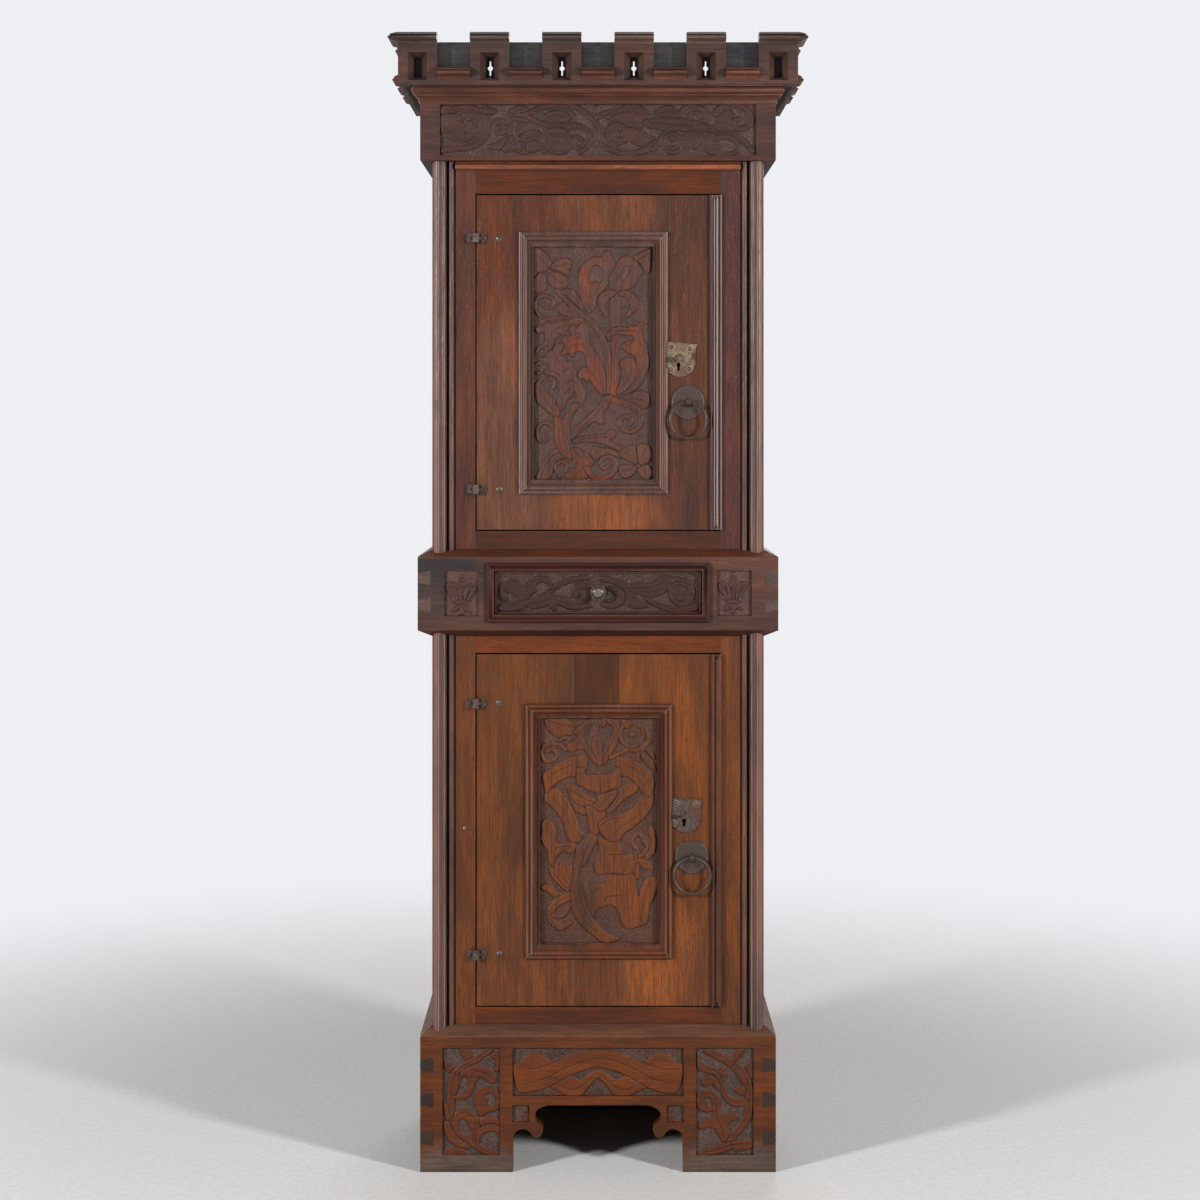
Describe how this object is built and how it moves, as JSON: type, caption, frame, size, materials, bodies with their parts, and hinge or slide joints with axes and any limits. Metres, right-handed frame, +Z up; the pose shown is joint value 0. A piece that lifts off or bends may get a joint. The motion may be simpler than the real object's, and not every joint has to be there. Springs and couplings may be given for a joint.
{
  "type": "gothic cupboard cabinet with a drawer",
  "caption": "Tall narrow oak cabinet in Gothic taste: battlemented crown, carved frieze, hinged cupboards with ring pulls, a waist drawer and an arched plinth.",
  "frame": {"origin": "on the floor, at the centre of the outer box", "axes": "+Z up, -Y towards the front with the doors, +X to the viewer's right"},
  "size_m": [0.738, 0.401, 2.0095],
  "materials": {
    "base_corner_blocks": "bare oak, unpolished",
    "base_front": "orange brown stained oak, waxed",
    "base_shoulder": "orange brown stained oak, waxed",
    "base_sides": "orange brown stained oak, waxed",
    "block_backs": "bare oak, unpolished",
    "corner_columns": "red brown stained oak, waxed",
    "cornice_moulding": "dark stained oak, waxed",
    "crenel_sills": "dark stained oak, waxed",
    "drawer_back": "bare oak, unpolished",
    "drawer_bottom": "bare oak, unpolished",
    "drawer_front": "dark stained oak, waxed",
    "drawer_knob": "worn iron with a dull shine",
    "drawer_runners": "bare oak, unpolished",
    "drawer_sides": "bare oak, unpolished",
    "drawer_surround": "dark stained oak, waxed",
    "floors_and_ceilings": "bare oak, unpolished",
    "frieze_bead": "dark stained oak, waxed",
    "frieze_front": "dark stained oak, waxed",
    "frieze_sides": "dark stained oak, waxed",
    "hinge_forks": "old iron, brown patina",
    "hinge_pins": "old iron, brown patina",
    "loophole_board": "black stain, flat",
    "lower_back": "bare oak, unpolished",
    "lower_case_sides": "orange brown stained oak, waxed",
    "lower_door_astragal": "orange brown stained oak, waxed",
    "lower_door_boards": "orange brown stained oak, waxed",
    "lower_door_panel": "orange brown stained oak, waxed",
    "lower_escutcheon": "old iron, brown patina",
    "lower_hinge_eyes": "old iron, brown patina",
    "lower_lock_bolt": "old iron, brown patina",
    "lower_lock_case": "old iron, brown patina",
    "lower_panel_moulding": "orange brown stained oak, waxed",
    "lower_pull_plate": "old iron, brown patina",
    "lower_pull_ring": "old iron, brown patina",
    "lower_rails": "orange brown stained oak, waxed",
    "lower_stiles": "orange brown stained oak, waxed",
    "merlon_caps": "dark stained oak, waxed",
    "parapet_front": "dark stained oak, waxed",
    "parapet_sides": "dark stained oak, waxed",
    "roof_board": "black stain, flat",
    "shelf_bearers": "bare oak, unpolished",
    "shelves": "bare oak, unpolished",
    "upper_back": "bare oak, unpolished",
    "upper_case_sides": "red brown stained oak, waxed",
    "upper_door_astragal": "red brown stained oak, waxed",
    "upper_door_boards": "red brown stained oak, waxed",
    "upper_door_panel": "red brown stained oak, waxed",
    "upper_escutcheon": "old brass, rubbed",
    "upper_hinge_eyes": "old iron, brown patina",
    "upper_lock_bolt": "old iron, brown patina",
    "upper_lock_case": "old iron, brown patina",
    "upper_panel_moulding": "red brown stained oak, waxed",
    "upper_pull_plate": "old iron, brown patina",
    "upper_pull_ring": "old iron, brown patina",
    "upper_rails": "red brown stained oak, waxed",
    "upper_stiles": "red brown stained oak, waxed",
    "waist_front": "dark stained oak, waxed",
    "waist_mouldings": "dark stained oak, waxed",
    "waist_sides": "dark stained oak, waxed"
  },
  "bodies": {
    "carcase": {"base_corner_blocks": "base_corner_blocks", "base_front": "base_front", "base_shoulder": "base_shoulder", "base_sides": "base_sides", "block_backs": "block_backs", "corner_columns": "corner_columns", "cornice_moulding": "cornice_moulding", "crenel_sills": "crenel_sills", "drawer_runners": "drawer_runners", "drawer_surround": "drawer_surround", "floors_and_ceilings": "floors_and_ceilings", "frieze_bead": "frieze_bead", "frieze_front": "frieze_front", "frieze_sides": "frieze_sides", "hinge_forks": "hinge_forks", "hinge_pins": "hinge_pins", "loophole_board": "loophole_board", "lower_back": "lower_back", "lower_case_sides": "lower_case_sides", "lower_rails": "lower_rails", "lower_stiles": "lower_stiles", "merlon_caps": "merlon_caps", "parapet_front": "parapet_front", "parapet_sides": "parapet_sides", "roof_board": "roof_board", "shelf_bearers": "shelf_bearers", "shelves": "shelves", "upper_back": "upper_back", "upper_case_sides": "upper_case_sides", "upper_rails": "upper_rails", "upper_stiles": "upper_stiles", "waist_front": "waist_front", "waist_mouldings": "waist_mouldings", "waist_sides": "waist_sides"},
    "upper_door": {"upper_door_boards": "upper_door_boards", "upper_door_panel": "upper_door_panel", "upper_panel_moulding": "upper_panel_moulding", "upper_door_astragal": "upper_door_astragal", "upper_hinge_eyes": "upper_hinge_eyes", "upper_escutcheon": "upper_escutcheon", "upper_pull_plate": "upper_pull_plate", "upper_lock_case": "upper_lock_case"},
    "lower_door": {"lower_door_boards": "lower_door_boards", "lower_door_panel": "lower_door_panel", "lower_panel_moulding": "lower_panel_moulding", "lower_door_astragal": "lower_door_astragal", "lower_hinge_eyes": "lower_hinge_eyes", "lower_escutcheon": "lower_escutcheon", "lower_pull_plate": "lower_pull_plate", "lower_lock_case": "lower_lock_case"},
    "drawer": {"drawer_front": "drawer_front", "drawer_sides": "drawer_sides", "drawer_back": "drawer_back", "drawer_bottom": "drawer_bottom", "drawer_knob": "drawer_knob"},
    "upper_ring": {"upper_pull_ring": "upper_pull_ring"},
    "lower_ring": {"lower_pull_ring": "lower_pull_ring"},
    "upper_bolt": {"upper_lock_bolt": "upper_lock_bolt"},
    "lower_bolt": {"lower_lock_bolt": "lower_lock_bolt"}
  },
  "joints": [
    {"name": "upper_door_hinge", "type": "hinge", "parent": "carcase", "child": "upper_door", "pos_m": [-0.21625, -0.1575, 1.42985], "axis": [0, 0, -1], "range_deg": [0, 165]},
    {"name": "upper_ring_swing", "type": "hinge", "parent": "upper_door", "child": "upper_ring", "pos_m": [0.1597, -0.162, 1.359], "axis": [-1, 0, 0], "range_deg": [0, 120]},
    {"name": "upper_bolt_slide", "type": "slide", "parent": "upper_door", "child": "upper_bolt", "axis": [1, 0, 0], "range_m": [0, 0.009]},
    {"name": "lower_door_hinge", "type": "hinge", "parent": "carcase", "child": "lower_door", "pos_m": [-0.21625, -0.1575, 0.60025], "axis": [0, 0, -1], "range_deg": [0, 165]},
    {"name": "lower_ring_swing", "type": "hinge", "parent": "lower_door", "child": "lower_ring", "pos_m": [0.1663, -0.162, 0.5532], "axis": [-1, 0, 0], "range_deg": [0, 120]},
    {"name": "lower_bolt_slide", "type": "slide", "parent": "lower_door", "child": "lower_bolt", "axis": [1, 0, 0], "range_m": [0, 0.009]},
    {"name": "drawer_slide", "type": "slide", "parent": "carcase", "child": "drawer", "axis": [0, -1, 0], "range_m": [0, 0.25]}
  ]
}
